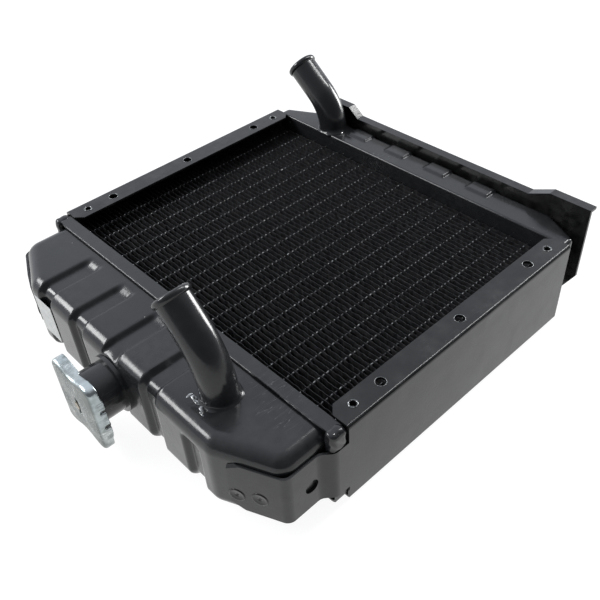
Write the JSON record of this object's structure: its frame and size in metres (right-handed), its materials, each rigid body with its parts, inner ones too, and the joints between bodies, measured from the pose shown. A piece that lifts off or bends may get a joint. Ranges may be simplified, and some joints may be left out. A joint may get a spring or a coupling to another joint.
{
  "type": "engine radiator",
  "caption": "Small engine radiator lying on its back, with ribbed end tanks, finned tube core, side channels, bent hose necks, base rail and twist-off pressure cap.",
  "frame": {"origin": "centre of the part's footprint, on the plane the rear flanges rest on", "axes": "+X from the top tank to the bottom tank, +Y across the core, +Z out of the front face, the way the hose necks rise"},
  "size_m": [0.339, 0.3, 0.1291],
  "materials": {
    "black_paint": "semi-gloss black",
    "core_brass": "thin dull black paint over brass tube",
    "fin_metal": "thin black paint, worn at the edges",
    "zinc_plate": "bright zinc plating",
    "rivet_steel": "plated",
    "spring_steel": "plain",
    "seal_rubber": "matt",
    "valve_brass": "satin",
    "fibre": "matt",
    "label_paper": "plain, blank"
  },
  "bodies": {
    "radiator": {"side_channel_near": "black_paint", "side_channel_far": "black_paint", "tube_row_front": "core_brass", "tube_row_rear": "core_brass", "cooling_fins": "fin_metal", "top_header": "black_paint", "bottom_header": "black_paint", "top_tank": "black_paint", "bottom_tank": "black_paint", "inlet_neck": "black_paint", "outlet_neck": "black_paint", "base_bracket": "black_paint", "filler_neck": "black_paint", "neck_collar": "black_paint", "overflow_nipple": "black_paint", "drain_boss": "black_paint", "blank_label": "label_paper"},
    "cap_carrier": {"cap_rivet": "rivet_steel", "cap_spring_disc": "spring_steel", "cap_top_gasket": "seal_rubber", "cap_bell": "zinc_plate", "pressure_spring": "spring_steel"},
    "cap_turning": {"cap_shell": "zinc_plate"},
    "pressure_valve": {"pressure_plate": "valve_brass", "pressure_gasket": "seal_rubber", "vacuum_spring": "spring_steel"},
    "vacuum_valve": {"vacuum_valve": "valve_brass"},
    "drain_carrier": {"drain_washer": "fibre"},
    "drain_screw": {"drain_plug": "valve_brass"}
  },
  "joints": [
    {"name": "cap_rise", "type": "slide", "parent": "radiator", "child": "cap_carrier", "axis": [-1, 0, 0], "range_m": [0, 0.0012]},
    {"name": "cap_turn", "type": "hinge", "parent": "cap_carrier", "child": "cap_turning", "pos_m": [-0.1691, 0, 0.036], "axis": [-1, 0, 0], "range_deg": [0, 75]},
    {"name": "pressure_lift", "type": "slide", "parent": "cap_carrier", "child": "pressure_valve", "axis": [-1, 0, 0], "range_m": [0, 0.0025], "stiffness_N_per_m": 8000, "springref_m": -0.005, "deforming": ["pressure_spring"]},
    {"name": "vacuum_open", "type": "slide", "parent": "pressure_valve", "child": "vacuum_valve", "axis": [1, 0, 0], "range_m": [0, 0.0015], "stiffness_N_per_m": 150, "springref_m": -0.003, "deforming": ["vacuum_spring"]},
    {"name": "drain_travel", "type": "slide", "parent": "radiator", "child": "drain_carrier", "axis": [0.8891, 0.4577, 0], "range_m": [0, 0.005]},
    {"name": "drain_turn", "type": "hinge", "parent": "drain_carrier", "child": "drain_screw", "pos_m": [0.15345, 0.1325, 0.033], "axis": [0.8891, 0.4577, 0], "range_deg": [0, 1440]}
  ],
  "couplings": [
    {"joint": "cap_turn", "follows": "cap_rise", "rad_per_m": 1090.7},
    {"joint": "drain_turn", "follows": "drain_travel", "rad_per_m": 5026}
  ]
}
